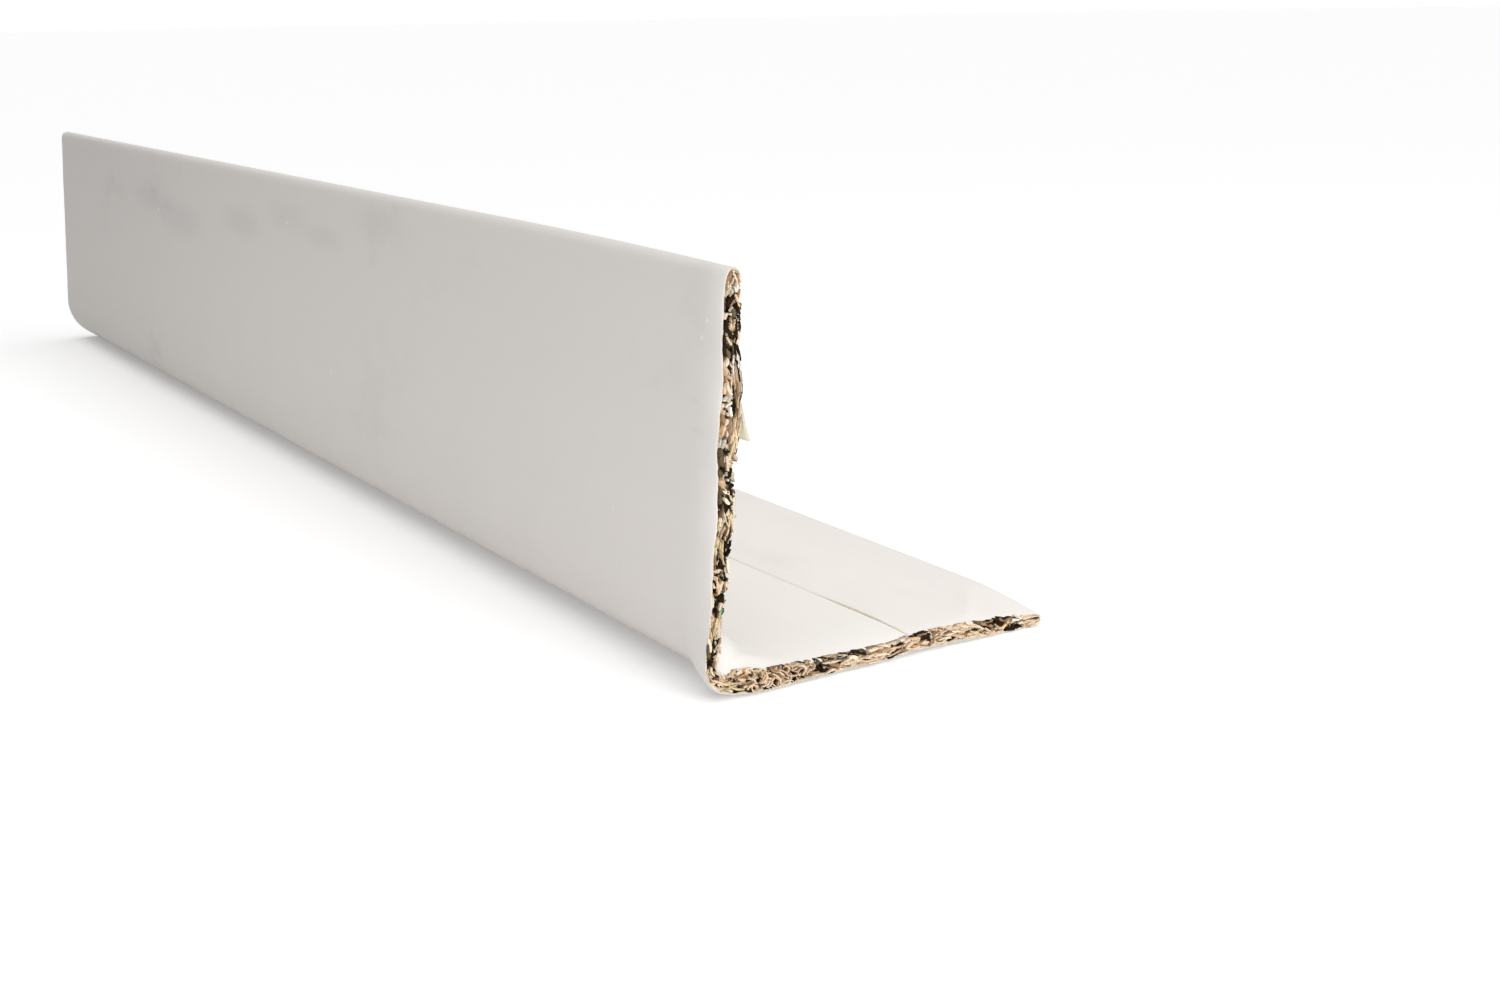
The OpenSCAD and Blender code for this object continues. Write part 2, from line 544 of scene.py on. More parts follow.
def thicken(piece):
    """Gives a sheet the paper's thickness, with a cream back and a pale edge."""
    body = piece.modifiers.new("paper_thickness", "SOLIDIFY")
    body.thickness = paper
    body.offset = -1
    body.material_offset = 1
    body.material_offset_rim = 2


# %% [markdown]
# ## The cut edges of the paper
# A shear doesn't leave a clean line on paper that is glued to loose chips: the edge wanders by a few
# tenths of a millimetre, drawn in where a chip tore out and left standing where it held. Two scales of
# noise along the section move the first and last rows of points.

# %% Wandering edges
outer_wander = 0.3 * mm
inner_wander = 0.36 * mm
wander_reach = 1.2 * mm
far_wander = 0.7
torn_share = 0.5
# How far torn chips spill past the liner at the near cut: distances from the outer corner, and spills, in mm.
flat_spill = [(2.2, 0.2), (3.5, 0.95), (6, 0.9), (12, 0.55), (18, 0.45), (26, 0.4), (32, 0.7)]
flat_spill += [(38, 0.7), (43, 0.4), (50, 0.06)]
upright_spill = [(2.2, 0.2), (6, 0.2), (27, 0.35), (31, 0.6), (36, 0.75), (40, 0.5), (47, 0.4), (50, 0.2)]
inner_dip = 0.25 * mm
dip_length = 3.5 * mm


def wander(across, depth, y, seed):
    """How far a point moves along the bar, because the cut edge of the paper is ragged."""
    from_near = y - near_y
    from_far = far_y - y
    coarse = noise.noise(Vector((across * 260, depth * 180, seed)))
    fine = noise.noise(Vector((across * 1100, depth * 500, seed + 7.3)))
    most = inner_wander if depth > edge_radius else outer_wander
    drawn = most * (0.5 + 0.7 * coarse + 0.5 * fine)
    if from_near < wander_reach:
        torn = measure_at(upright_spill if across > 0 else flat_spill, across) if depth > edge_radius else 0.0
        return (drawn + torn_share * torn) * (1 - from_near / wander_reach) ** 2
    if from_far < wander_reach:
        return -far_wander * drawn * (1 - from_far / wander_reach) ** 2
    return 0.0


def dip(y):
    """How far the shear drew the paper of the inner faces down at the cut."""
    return inner_dip * (1 - behind(y, dip_length)) ** 2


# %% [markdown]
# ## The outer wrap
# One sheet of paper runs under the flat leg, round the heel and up the upright leg. It is folded over
# both legs' edges, and its two tails are glued to the inner faces. Near the shear the flat leg's tail has
# come up along its free edge, and the corner of the upright leg's tail has come loose and curls away from
# the board.

# %% Draw and pull the wrap
flat_lap = 21.5 * mm
upright_lap = 20 * mm
heel_start = arc_start(heel_radius)
edge_centre = leg - edge_radius
probe_x = 10 * mm

wrap = bmesh.new()
pen = start_line(wrap, leg - flat_lap, board)
pen = line_to(wrap, pen, edge_centre, board)
pen = arc_round(wrap, pen, edge_centre, edge_radius, math.pi, tip_steps)
pen = line_to(wrap, pen, heel_start, 0)
pen = arc_round(wrap, pen, heel_start, heel_radius, bend, heel_steps)
pen = line_to(wrap, pen, *other_leg(edge_centre, 0))
pen = arc_round(wrap, pen, *other_leg(edge_centre, edge_radius), math.pi, tip_steps)
pen = line_to(wrap, pen, *other_leg(leg - upright_lap, board))
refine_line(wrap, across_pitch)
pull_along(wrap, stations)
face_outwards(wrap, (Vector((probe_x, 0, 0)), Vector((0, 0, -1))))
print("wrap sheet:", len(wrap.verts), "points")

# %% Lift the tails
loose_width = 9 * mm
loose_length = 16 * mm
loose_lift = 2.4 * mm
seam_width = 7 * mm
seam_lift = 0.18 * mm
seam_middle = 10 * mm
seam_reach = 14 * mm
pressed_edge = 0.3 * mm
pressed_width = 6 * mm


def tail_lift(across, y):
    """How far a tail of the wrap stands off the board."""
    distance = distance_at(across)
    glued = pressed_edge * (1 + 0.3 * noise.noise(Vector((0.3, y * 45, 2.6))))
    if across > 0:
        in_tail = distance - (leg - upright_lap)
        curl = max(0.0, 1 - in_tail / loose_width - behind(y, loose_length))
        up = loose_lift * curl ** 2
    else:
        in_tail = distance - (leg - flat_lap)
        hump = 1 - ease(abs(y - near_y - seam_middle) / seam_reach)
        up = seam_lift * hump * max(0.0, 1 - in_tail / seam_width) ** 2
    return up - glued * (1 - ease(up / pressed_edge)) * max(0.0, 1 - in_tail / pressed_width)


loose_height = tail_lift(across_at(leg - upright_lap), near_y)
print("the loose corner stands", round(loose_height / mm, 1), "mm off the board")

# %% Crease a tail
crease_from = Vector((46.5 * mm, 11.1 * mm))
crease_to = Vector((39.4 * mm, 1.5 * mm))
crease_height = 0.32 * mm
crease_width = 0.6 * mm


def crease(distance, from_near):
    """How high the flat leg's tail is creased where the shear pinched the corner."""
    run = crease_to - crease_from
    spot = Vector((distance, from_near)) - crease_from
    along = spot.dot(run) / run.length_squared
    aside = (spot.x * run.y - spot.y * run.x) / run.length
    if not 0 < along < 1.3:
        return 0.0
    return crease_height * math.sin(math.pi * min(1.0, along)) ** 0.5 * math.exp(-(aside / crease_width) ** 2)


# %% [markdown]
# The tails' free edges aren't quite straight: near the cut they lie a little nearer to the legs' edges.
# Each point of the wrap also keeps an attribute that is 1 on the outside, where the white paper's painted
# shade goes, and falls to 0 on the inside.

# %% Trim, lift and press the wrap
flat_trim = 0.8 * mm
upright_trim = 0.6 * mm
trim_length = 45 * mm
tail_depth = 0.97 * board

# The share of the white paper's painted shade that each point of the wrap gets.
outer_side = wrap.verts.layers.float.new("outer_side")
for vert in wrap.verts:
    across, depth = board_place(vert.co.x - apex_x, vert.co.z)
    y = vert.co.y
    vert[outer_side] = 1 - ease(depth / board)
    if depth > tail_depth:
        lap, trim = (upright_lap, upright_trim) if across > 0 else (flat_lap, flat_trim)
        in_tail = distance_at(across) - (leg - lap)
        moved = trim * (1 - ease(behind(y, trim_length))) * max(0.0, 1 - in_tail / seam_width)
        across += math.copysign(moved, across)
    y_cut = y + wander(across, depth, y, 1.5)
    if depth > tail_depth:
        depth += tail_lift(across, y) - dip(y)
        if across < 0:
            depth += crease(distance_at(across), y - near_y)
    vert.co = pressed(across, depth, y)
    vert.co.y = y_cut

wrap_papers = [wrap_white, paper_back, paper_edge]
outer_wrap = make_piece("outer_wrap_paper", wrap, wrap_papers, ["outer_wrap"])
thicken(outer_wrap)

# %% [markdown]
# ## The inner liner
# A narrower strip of the same paper covers the inside of the angle, under the two tails. In the squashed
# corner it has nowhere to go: at the cut the knife holds it down, and just behind the cut it rises off
# the board in a soft buckle that catches the light. Cloth simulation would give such a buckle too, but a
# rise that eases in and out is enough, and it stays the same in each run.

# %% Draw and pull the liner
liner_inset = 8 * mm
liner_face = board - paper
buckle = 2.0 * mm
buckle_rise = 4 * mm
buckle_length = 22 * mm
buckle_middle = -1.8 * mm
buckle_width = 9 * mm

liner = bmesh.new()
pen = start_line(liner, leg - liner_inset, liner_face)
pen = line_to(liner, pen, heel_start, liner_face)
pen = arc_round(liner, pen, heel_start, heel_radius, bend, heel_steps)
pen = line_to(liner, pen, *other_leg(leg - liner_inset, liner_face))
refine_line(liner, across_pitch)
pull_along(liner, stations)
face_outwards(liner, (Vector((probe_x, 0, liner_face)), Vector((0, 0, 1))))

for vert in liner.verts:
    across, depth = board_place(vert.co.x - apex_x, vert.co.z)
    y = vert.co.y
    y_cut = y + wander(across, depth, y, 8.2)
    corner_share = max(0.0, 1 - abs(across - buckle_middle) / buckle_width)
    rise = ease(behind(y, buckle_rise)) * (1 - ease(behind(y - buckle_rise, buckle_length)))
    depth += buckle * ease(corner_share) * rise - dip(y)
    vert.co = pressed(across, depth, y)
    vert.co.y = y_cut

liner_papers = [liner_white, paper_back, paper_edge]
inner_liner = make_piece("inner_liner_paper", liner, liner_papers, ["inner_liner"])
thicken(inner_liner)

# %% [markdown]
# ## The chip board
# The board is waste paper, torn to chips and pressed with glue. At a cut it shows kraft browns, cream and
# white paper, and black gaps. The chips' colour is kept on the mesh as an attribute, one tint a chip. The
# finish adds to it the thin layers of each chip, which follow a second attribute, the chip's own length
# and thickness, and painted shade: in the crevices between layers, along each chip's edges and where a
# chip lies deeper behind the cut. The second attribute keeps that depth too.


# %% Chip finish
def chip_finish(name):
    """Torn chips: each chip's tint and thin layers, with painted shade in crevices, along edges and in depth.
    """
    finish = Finish(name, {"IOR": 1.45, "Specular IOR Level": 0.12})
    tint = finish.node("ShaderNodeAttribute", {"attribute_name": "tint"}, {}, "Color")
    grain = finish.node("ShaderNodeAttribute", {"attribute_name": "grain"}, {}, "Vector")
    layers = finish.noise(finish.stretch(grain, (0.4, 2.0, 0.4)), 2.2, 3, 0.6)
    fibre = finish.noise(finish.stretch(grain, (1.2, 2.2, 1.2)), 4.0, 4, 0.7)
    up = finish.node("ShaderNodeSeparateXYZ", {}, {0: grain}, "Y")
    back = finish.node("ShaderNodeSeparateXYZ", {}, {0: grain}, "Z")
    side = finish.node("ShaderNodeMath", {"operation": "ABSOLUTE"}, {0: up})
    shade = 0.62 + 0.5 * layers + 0.3 * fibre
    grey = finish.node("ShaderNodeCombineColor", {}, {0: shade, 1: shade, 2: shade})
    base = finish.mix("MULTIPLY", 1.0, tint, grey)
    # Painted shade in the crevices between the layers.
    gap = finish.step(layers, 0.45, 0.34)
    # Painted shade along each chip's top and bottom edges.
    edge_shade = finish.step(side + 0.5 * fibre, 1.04, 1.28)
    # Painted shade on chips that lie deeper behind the cut.
    deep = finish.step(back + 0.25 * fibre, 0.32, 0.95)
    base = finish.mix("MULTIPLY", 0.34 * gap, base, paint(124, 94, 68))
    base = finish.mix("MULTIPLY", 0.28 * edge_shade, base, paint(118, 90, 66))
    base = finish.mix("MULTIPLY", 0.7 * deep, base, paint(88, 66, 46))
    normal = finish.bump(fibre, 0.6, fibre_bump)
    return finish.feed({"Base Color": base, "Roughness": 0.75 + 0.25 * fibre, "Normal": normal})


chip_board = chip_finish("chip_board")
print("chip finish:", chip_board.name)

# %% [markdown]
# ### The board's body
# Behind the torn ends the board is hidden, so its body is one plain loft that ends a millimetre short of
# each cut. Its outline is drawn with the same pencil and compass, closed, filled and pulled along the
# bar. It is painted dark and given the chips' full painted shade, so that where it shows between the chips
# it stands for the shade in the gaps.

# %% Draw and pull the body
body_short = 1.1 * mm
core_low = paper
core_high = board - 2 * paper
core_edge = edge_radius - paper
weld = 0.01 * mm

core = bmesh.new()
first = start_line(core, heel_start, core_high)
pen = line_to(core, first, leg - liner_inset - paper, core_high)
pen = line_to(core, pen, leg - liner_inset, board - paper)
pen = line_to(core, pen, edge_centre, board - paper)
pen = arc_round(core, pen, edge_centre, edge_radius, math.pi, tip_steps)
pen = line_to(core, pen, heel_start, core_low)
pen = arc_round(core, pen, heel_start, heel_radius, bend, heel_steps)
pen = line_to(core, pen, *other_leg(edge_centre, core_low))
pen = arc_round(core, pen, *other_leg(edge_centre, edge_radius), math.pi, tip_steps)
pen = line_to(core, pen, *other_leg(leg - liner_inset, board - paper))
pen = line_to(core, pen, *other_leg(leg - liner_inset - paper, core_high))
pen = line_to(core, pen, *other_leg(heel_start, core_high))
pen = arc_round(core, pen, heel_start, heel_radius, -bend, heel_steps)
bmesh.ops.remove_doubles(core, verts=core.verts, dist=weld)

body_stations = [y for y in stations if near_y + body_short < y < far_y - body_short]
body_stations = [near_y + body_short, *body_stations, far_y - body_short]
pull_along(core, body_stations)
ends = [edge for edge in core.edges if edge.is_boundary]
bmesh.ops.holes_fill(core, edges=ends, sides=0)
bmesh.ops.triangulate(core, faces=[face for face in core.faces if len(face.verts) > 4])
bmesh.ops.recalc_face_normals(core, faces=core.faces)
print("open edges of the body:", sum(edge.is_boundary for edge in core.edges))

# %% Press and tint the body
# Painted shade: the body's dark tint and full shade depth make it read as the shade between the chips.
body_shade_tint = paint(52, 38, 28)
body_shade_depth = 2.0

core_tint = core.verts.layers.float_color.new("tint")
core_grain = core.verts.layers.float_vector.new("grain")
for vert in core.verts:
    across, depth = board_place(vert.co.x - apex_x, vert.co.z)
    vert[core_tint] = body_shade_tint
    vert[core_grain] = (across / mm, depth / mm, body_shade_depth)
    vert.co = pressed(across, depth, vert.co.y)

make_piece("chip_board_body", core, [chip_board], ["chip_core"])

# %% [markdown]
# ### The chips of a cut end
# Each chip is a small strip, cut from a subdivided cube, bent to an arc and laid along the board. Chips
# of a kind lie together, because a sheet that went into the shredder comes out as a clump. So a short
# recipe names the clumps along each leg, and a mix says which papers a clump has and how thick, long and
# curly its chips are.

# %% Papers and mixes
papers = {
    "kraft": paint(210, 184, 154),
    "buff": paint(228, 206, 178),
    "peach": paint(232, 200, 166),
    "cream": paint(238, 219, 194),
    "straw": paint(222, 202, 162),
    "white": paint(236, 229, 218),
    "grey": paint(198, 187, 170),
    "brown": paint(160, 130, 100),
    "olive": paint(108, 94, 70),
    "black": paint(40, 30, 18),
    "mint": paint(120, 178, 150),
}
# Shares of the papers in each mix:
mixes = {
    "tan": {"kraft": 4, "buff": 4, "peach": 2, "cream": 2, "brown": 2, "black": 1.4},
    "peach": {"peach": 5, "buff": 3, "cream": 2, "brown": 1.5, "black": 1.2},
    "pale": {"white": 5, "cream": 3, "grey": 1.5, "black": 2, "buff": 1.5},
    "dark": {"black": 6.5, "olive": 2.5, "brown": 1.5, "cream": 1, "buff": 1},
    "slivers": {"black": 5, "white": 2, "olive": 1},
    "strands": {"kraft": 3, "cream": 2, "buff": 3, "brown": 2, "black": 3},
    "straw": {"straw": 4, "cream": 3, "kraft": 2, "olive": 1.5, "black": 1.8},
    "swirls": {"buff": 4, "kraft": 3, "peach": 2, "cream": 3, "brown": 2, "black": 2},
    "slab": {"buff": 4, "kraft": 2, "cream": 4, "peach": 1, "brown": 1.5, "black": 1.4},
    "mint": {"mint": 3, "straw": 3, "cream": 2, "black": 1},
}
# Lengths and thicknesses of each mix's chips in mm, their most curl and usual tilt in degrees:
shapes = {
    "tan": ((0.6, 1.6), (0.16, 0.4), 90, 30),
    "peach": ((0.6, 1.6), (0.2, 0.5), 60, 28),
    "pale": ((0.5, 1.4), (0.2, 0.5), 60, 40),
    "dark": ((0.7, 2.0), (0.2, 0.6), 60, 30),
    "slivers": ((1.2, 2.6), (0.14, 0.3), 20, 8),
    "strands": ((2.0, 4.5), (0.1, 0.22), 18, 7),
    "straw": ((0.9, 2.8), (0.12, 0.28), 40, 15),
    "swirls": ((0.9, 2.2), (0.12, 0.26), 220, 90),
    "slab": ((0.9, 2.3), (0.18, 0.5), 40, 16),
    "mint": ((0.8, 1.6), (0.15, 0.3), 40, 30),
}
print(len(papers), "papers in", len(mixes), "mixes")

# %% The clumps along each leg
# A clump reaches from the one before it to its own distance from the outer corner, in mm. It has two mixes:
# one for the half next to the outer face, and one for the half next to the inner face.
flat_clumps = [(2.8, "tan", "tan"), (5, "straw", "tan"), (6.9, "dark", "peach")]
flat_clumps += [(12.9, "swirls", "swirls"), (15.6, "tan", "swirls"), (17.3, "dark", "dark")]
flat_clumps += [(19.3, "dark", "straw"), (20.3, "straw", "straw"), (23, "slab", "dark")]
flat_clumps += [(27.8, "slab", "slab"), (30.5, "peach", "peach"), (32.1, "peach", "dark")]
flat_clumps += [(34.1, "swirls", "swirls"), (39.5, "slab", "slab"), (43.9, "tan", "dark")]
flat_clumps += [(45.2, "dark", "peach"), (46.9, "dark", "pale"), (51, "slab", "slab")]
upright_clumps = [(6, "tan", "tan"), (8.2, "dark", "tan"), (9.7, "straw", "straw")]
upright_clumps += [(11, "peach", "straw"), (11.7, "straw", "mint"), (13.6, "tan", "dark")]
upright_clumps += [(14.8, "peach", "dark"), (17.6, "dark", "dark"), (20.6, "straw", "dark")]
upright_clumps += [(22, "straw", "straw"), (25.2, "dark", "dark"), (26.3, "tan", "dark")]
upright_clumps += [(27.4, "dark", "pale"), (29.9, "dark", "tan"), (31.2, "pale", "straw")]
upright_clumps += [(33.7, "peach", "strands"), (36.3, "pale", "strands"), (38, "peach", "strands")]
upright_clumps += [(40.2, "peach", "slivers"), (42.2, "dark", "slivers"), (44, "dark", "tan")]
upright_clumps += [(45.7, "pale", "dark"), (47, "dark", "peach"), (48, "pale", "pale")]
upright_clumps += [(51, "peach", "peach")]
print(len(flat_clumps), "clumps on the flat leg,", len(upright_clumps), "on the upright leg")


def clump_at(clumps, distance, inner):
    """Name of the mix at a distance from the outer corner, in the outer or the inner half of the board."""
    clump = next((clump for clump in clumps if distance < clump[0] * mm), clumps[-1])
    return clump[2] if inner else clump[1]


# %% A plain strip to copy
strip_cuts = 8


def plain_strip(chips):
    """Adds a unit cube, cut across its length, to an empty bmesh, and returns all that it is made of."""
    bmesh.ops.create_cube(chips, size=1.0)
    lengthwise = [edge for edge in chips.edges if abs(edge.verts[0].co.x - edge.verts[1].co.x) > 0.5]
    bmesh.ops.subdivide_edges(chips, edges=lengthwise, cuts=strip_cuts, use_grid_fill=True)
    return [*chips.verts, *chips.edges, *chips.faces]


# %% One chip
chip_gap = 0.03 * mm
tip_gap = 0.05 * mm


def keep_inside(across, depth, spill, fray):
    """Moves a point of a chip back inside the board's core, or to where chips spill out of it at the cut."""
    distance = min(distance_at(across), leg - paper - tip_gap)
    high = spill + (core_high if distance < leg - liner_inset else board - paper)
    depth = min(max(depth, core_low - fray + chip_gap), high - chip_gap)
    out = distance - edge_centre
    if out > 0:
        room = math.sqrt(max(0.0, (core_edge - chip_gap) ** 2 - out ** 2))
        depth = min(max(depth, edge_radius - room), edge_radius + room)
    return math.copysign(across_at(distance), across), depth


spill_reach = 0.8 * mm
fray_reach = 0.4 * mm
# How far chips fray past the outer face's paper at the near cut: distances from the outer corner, then
# frays, in mm.
flat_fray = [(2.2, 0.3), (5, 0.3), (7, 0.1), (15, 0.1), (18, 0.3), (22, 0.3), (25, 0.1), (39, 0.1)]
flat_fray += [(43, 0.3), (50, 0.3)]
upright_fray = [(2.2, 0.3), (5, 0.1), (7, 0.3), (8.5, 0.4), (10.5, 0.3), (12.5, 0.05), (50, 0.05)]
spill_edge = 0.25 * mm
front_uneven = 0.09


def add_chip(chips, layers, strip, size, spot, turn, tint, front, loose, shake):
    """Adds one bent copy of a strip.

    Spot is across and depth, turn is curl and tilt, and front is the end's y, its direction, the relief
    and the slope.
    """
    length, thick, reach = size
    curl, tilt = turn
    end_y, inwards, relief, slope = front
    copy = bmesh.ops.duplicate(chips, geom=strip)["geom"]
    verts = [part for part in copy if isinstance(part, bmesh.types.BMVert)]
    for vert in verts:
        along, far, up = vert.co
        angle = curl * along
        ray = length / curl
        taper = 1 - 0.5 * abs(2 * along) ** 3
        step_along = ray * math.sin(angle) - up * thick * taper * math.sin(angle)
        step_up = ray * (1 - math.cos(angle)) + up * thick * taper * math.cos(angle)
        across = spot[0] + step_along * math.cos(tilt) - step_up * math.sin(tilt)
        depth = spot[1] + step_along * math.sin(tilt) + step_up * math.cos(tilt)
        uneven = shake.uniform(-front_uneven, front_uneven) * mm if far < 0 else 0.0
        back = relief + slope * along + uneven + (far + 0.5) * reach
        spill = measure_at(loose[0], across) * (1 - ease(back / spill_reach))
        ragged = 1 + 0.4 * noise.noise(Vector((across * 420, 3.3, 1.2)))
        fray = measure_at(loose[1], across) * ragged * (1 - ease(back / fray_reach))
        across, depth = keep_inside(across, depth, spill, fray)
        # The grain's third part is the depth behind the cut, which sets the finish's painted shade; chips
        # that spill out over the paper get none.
        spilled = ease((depth - core_high) / spill_edge)
        vert[layers[0]] = tint
        lengthwise = along * length / mm + 9 * (spot[0] + spot[1]) / mm
        vert[layers[1]] = (lengthwise, 2 * up, back * (1 - spilled) / mm)
        vert.co = pressed(across, depth, end_y + inwards * back)


# %% One cut end full of chips
column_pitch = 1.0 * mm
row_pitch = 0.25 * mm
proud = 0.18 * mm
sunk = 0.55 * mm
dark_papers = ("black", "olive", "brown")
dark_proud = 0.05 * mm
most_slant = 0.3
least_curl = 0.25
reaches = (1.5, 2.2)
lights = (0.93, 1.2)
near_seed = 5
far_seed = 23


def chip_column(across_from, end_y, inwards, clumps, loose, shake):
    """Makes a mesh of the chips that start in one column of a cut end."""
    chips = bmesh.new()
    layers = (chips.verts.layers.float_color.new("tint"), chips.verts.layers.float_vector.new("grain"))
    strip = plain_strip(chips)
    room = core_high - core_low + measure_at(loose[0], across_from)
    rows = round(room / row_pitch)
    for row in range(rows):
        across = across_from + shake.random() * column_pitch
        depth = core_low + (row + shake.random()) * room / rows
        mix = clump_at(clumps, distance_at(across), depth > board / 2)
        shares = mixes[mix]
        lengths, thicknesses, most_curl, usual_tilt = shapes[mix]
        sheet = shake.choices(list(shares), list(shares.values()))[0]
        light = shake.uniform(*lights)
        tint = tuple(min(1.0, part * light) for part in papers[sheet][:3]) + (1,)
        size = [shake.uniform(*limits) * mm for limits in (lengths, thicknesses, reaches)]
        curl = math.radians(shake.uniform(least_curl, 1) * most_curl) * shake.choice((-1, 1))
        turn = (curl, math.radians(shake.gauss(0, usual_tilt)))
        relief = shake.uniform(-dark_proud if sheet in dark_papers else -proud, sunk)
        front = (end_y, inwards, relief, shake.uniform(-most_slant, most_slant) * mm)
        add_chip(chips, layers, strip, size, (across, depth), turn, tint, front, loose, shake)
    pattern = [part for part in strip if isinstance(part, bmesh.types.BMVert)]
    bmesh.ops.delete(chips, geom=pattern, context="VERTS")
    column = bpy.data.meshes.new("column")
    chips.to_mesh(column)
    chips.free()
    return column


def cut_end(name, end_y, inwards, flat, upright, seed):
    """Fills a cut end with chips, column by column. A leg is its clumps, its spill and its fray."""
    shake = random.Random(seed)
    chips = bmesh.new()
    edge = across_at(leg)
    for index in range(round(2 * edge / column_pitch)):
        across_from = -edge + index * column_pitch
        clumps, *loose = flat if across_from < 0 else upright
        column = chip_column(across_from, end_y, inwards, clumps, loose, shake)
        chips.from_mesh(column)
        bpy.data.meshes.remove(column)
    bmesh.ops.recalc_face_normals(chips, faces=chips.faces)
    make_piece(name, chips, [chip_board], ["chip_core"], smooth=False)


tight = [(0, 0.0), (51, 0.0)]
near_flat = (flat_clumps, flat_spill, flat_fray)
near_upright = (upright_clumps, upright_spill, upright_fray)
far_flat = (upright_clumps, tight, tight)
far_upright = (flat_clumps, tight, tight)
cut_end("near_cut_chips", near_y, 1, near_flat, near_upright, near_seed)
cut_end("far_cut_chips", far_y, -1, far_flat, far_upright, far_seed)

# %% [markdown]
# ### A torn shred
# Half way down the upright leg a strip of the liner has torn at the cut and hangs off the board as a
# small cream curl. It is a grid that is bent like the chips and given the paper's thickness.

# %% The shred
shred_at = 23.6 * mm
shred_width = 3.2 * mm
shred_reach = 1.3 * mm
shred_lift = 0.4 * mm
shred_out = 0.05 * mm
shred_ragged = 0.12 * mm
shred_gap = 0.04 * mm

shred = bmesh.new()
bmesh.ops.create_grid(shred, x_segments=10, y_segments=6, size=0.5)
for vert in shred.verts:
    down, back = vert.co.x + 0.5, vert.co.y + 0.5
    narrow = 1 - 0.6 * back
    distance = shred_at + shred_width * (0.5 - down * narrow)
    rise = shred_lift * (1 - back) * ease(down) * (1.1 - 0.3 * down)
    ragged = shred_ragged * noise.noise(Vector((down * 5, back * 3, 2.1)))
    y = near_y - shred_out + shred_reach * back + ragged
    vert.co = pressed(across_at(distance), liner_face + shred_gap + rise, y)
bmesh.ops.recalc_face_normals(shred, faces=shred.faces)
liner_shred = make_piece("liner_shred", shred, [paper_back, paper_back, paper_edge], [])
thicken(liner_shred)

# %% [markdown]
# ## Floor, light and camera
# The bar lies on a pale floor in soft overhead light. The world gives a little light from all sides, and
# a wide lamp overhead lights the faces that look up. A soft lamp left of the near end makes the long face
# fade into the distance, and a low one in front of the near end lights the cut. The camera stands where
# the photographer's did: left of the near end and a little above it.

# %% Floor
floor_half = 12.0
floor_lift = 0.27

ground = bmesh.new()
bmesh.ops.create_grid(ground, x_segments=1, y_segments=1, size=floor_half)
floor_mesh = bpy.data.meshes.new("floor")
ground.to_mesh(floor_mesh)
ground.free()
floor = bpy.data.objects.new("floor", floor_mesh)
bpy.context.scene.collection.objects.link(floor)

floor_paint = {"Base Color": (0.9, 0.9, 0.9, 1), "Roughness": 1.0, "Specular IOR Level": 0.0}
floor_finish = Finish("floor_white", {**floor_paint, "Emission Strength": 1.0})
seen = floor_finish.node("ShaderNodeLightPath", {}, {}, "Is Camera Ray")
for ray in ("Is Glossy Ray", "Is Transmission Ray"):
    seen = seen + floor_finish.node("ShaderNodeLightPath", {}, {}, ray)
lifted = floor_lift * seen
lift = floor_finish.node("ShaderNodeCombineColor", {}, {0: lifted, 1: lifted, 2: lifted})
floor_mesh.materials.append(floor_finish.feed({"Emission Color": lift}))
print("floor", 2 * floor_half, "m wide")

# %% World
world_light = 0.12

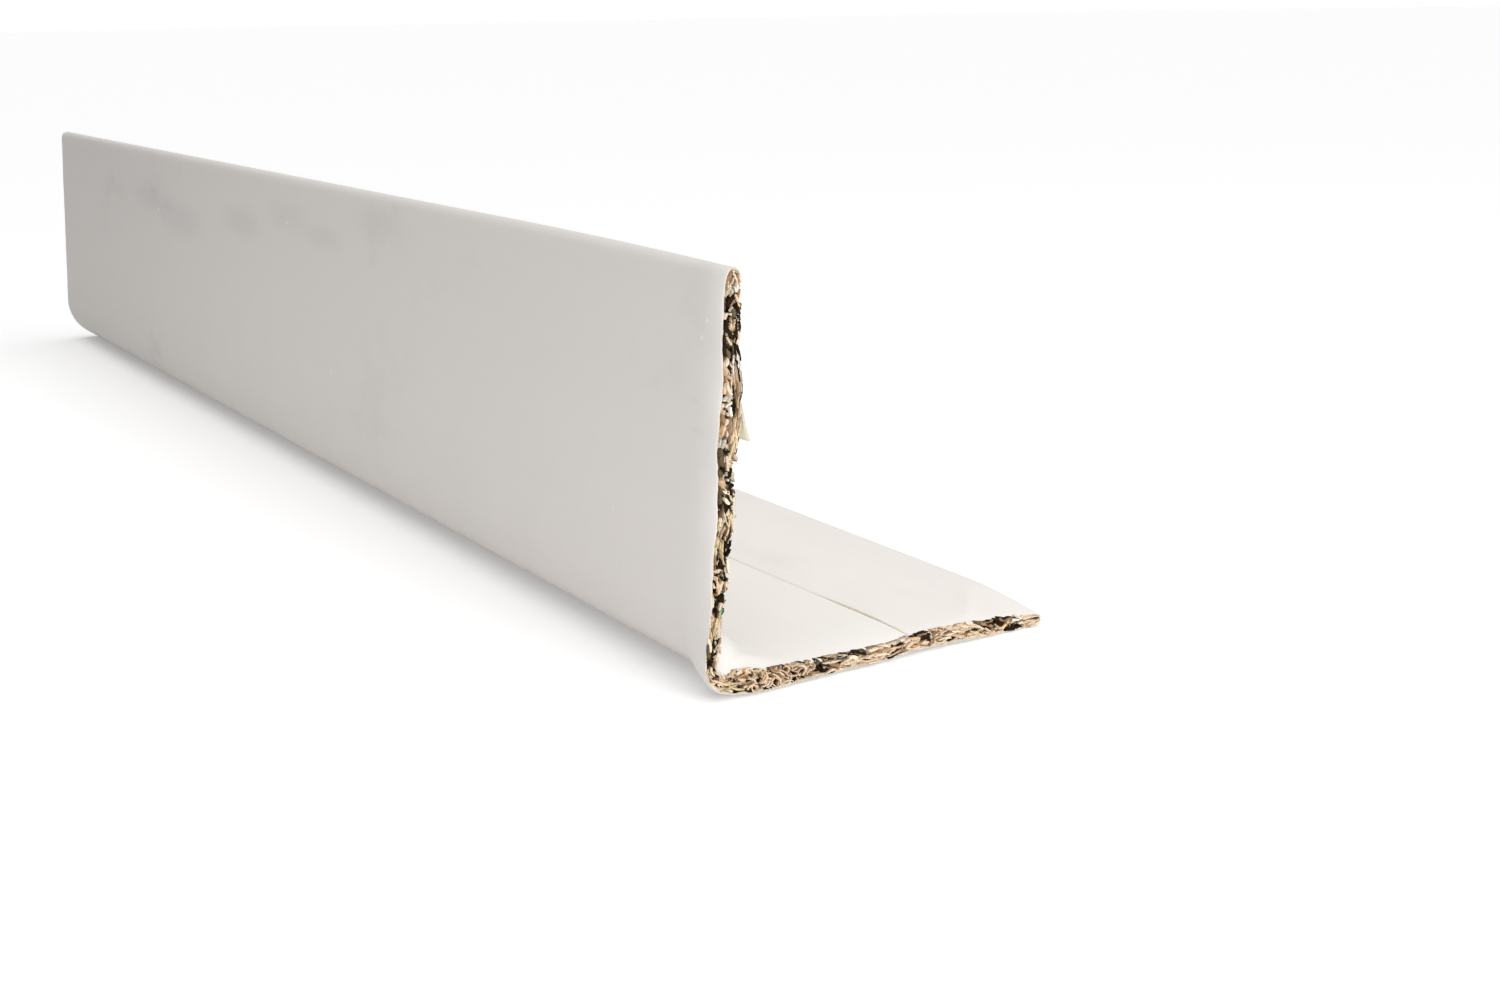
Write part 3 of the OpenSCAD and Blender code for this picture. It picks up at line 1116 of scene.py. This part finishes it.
world = bpy.data.worlds.new("studio")
bpy.context.scene.world = world
world.use_nodes = True
sky = world.node_tree.nodes
shine = sky["Background"]
shine.inputs["Color"].default_value = (1, 1, 1, 1)
sky_rays = sky.new("ShaderNodeLightPath")
sky_seen = sky_rays.outputs["Is Camera Ray"]
for kind in ("Is Glossy Ray", "Is Transmission Ray"):
    either = sky.new("ShaderNodeMath")
    either.operation = "MAXIMUM"
    world.node_tree.links.new(sky_seen, either.inputs[0])
    world.node_tree.links.new(sky_rays.outputs[kind], either.inputs[1])
    sky_seen = either.outputs[0]
sky_level = sky.new("ShaderNodeMapRange")
sky_level.inputs["To Min"].default_value = world_light
sky_level.inputs["To Max"].default_value = 1.0
world.node_tree.links.new(sky_seen, sky_level.inputs["Value"])
world.node_tree.links.new(sky_level.outputs[0], shine.inputs["Strength"])
print("world light", world_light)


# %% Lamps
def aim(lamp_object, target):
    """Turns a lamp to a point."""
    lamp_object.rotation_euler = (target - lamp_object.location).to_track_quat("-Z", "Y").to_euler()


overhead = bpy.data.lights.new("overhead", "SUN")
overhead.energy = 2.12
overhead.angle = math.radians(80)
overhead_lamp = bpy.data.objects.new("overhead", overhead)
overhead_lamp.location = (0.12, -0.35, 1.5)
aim(overhead_lamp, Vector((0, -0.1, 0)))
bpy.context.scene.collection.objects.link(overhead_lamp)

front = bpy.data.lights.new("front", "AREA")
front.shape = "DISK"
front.size = 0.2
front.energy = 0.5
front_lamp = bpy.data.objects.new("front", front)
front_lamp.location = (-0.32, -0.4, 0.04)
front_lamp.visible_camera = False
aim(front_lamp, Vector((0, -0.14, 0.02)))
bpy.context.scene.collection.objects.link(front_lamp)

low = bpy.data.lights.new("low", "AREA")
low.shape = "DISK"
low.size = 0.3
low.energy = 1.25
low_lamp = bpy.data.objects.new("low", low)
low_lamp.location = (0.06, -0.6, 0.16)
low_lamp.visible_camera = False
aim(low_lamp, Vector((0, -0.15, 0.02)))
bpy.context.scene.collection.objects.link(low_lamp)
print("lamps:", overhead.energy, front.energy, low.energy)

# %% Camera
camera = bpy.data.cameras.new("camera")
camera.sensor_width = 36
camera.lens = 43.97
camera.clip_start = 0.01
camera_object = bpy.data.objects.new("camera", camera)
pan = math.radians(32.464)
tilt_down = math.radians(15.031)
roll = math.radians(-0.929)
camera_place = (-0.12397, -0.31554, 0.07588)
turned = Matrix.Rotation(-pan, 4, "Z") @ Matrix.Rotation(math.pi / 2 - tilt_down, 4, "X")
turned = turned @ Matrix.Rotation(roll, 4, "Z")
camera_object.matrix_world = Matrix.Translation(camera_place) @ turned
bpy.context.scene.collection.objects.link(camera_object)
bpy.context.scene.camera = camera_object
bpy.context.scene.view_settings.view_transform = "Standard"
print("camera at", camera_place, "m, lens", round(camera.lens, 2), "mm")
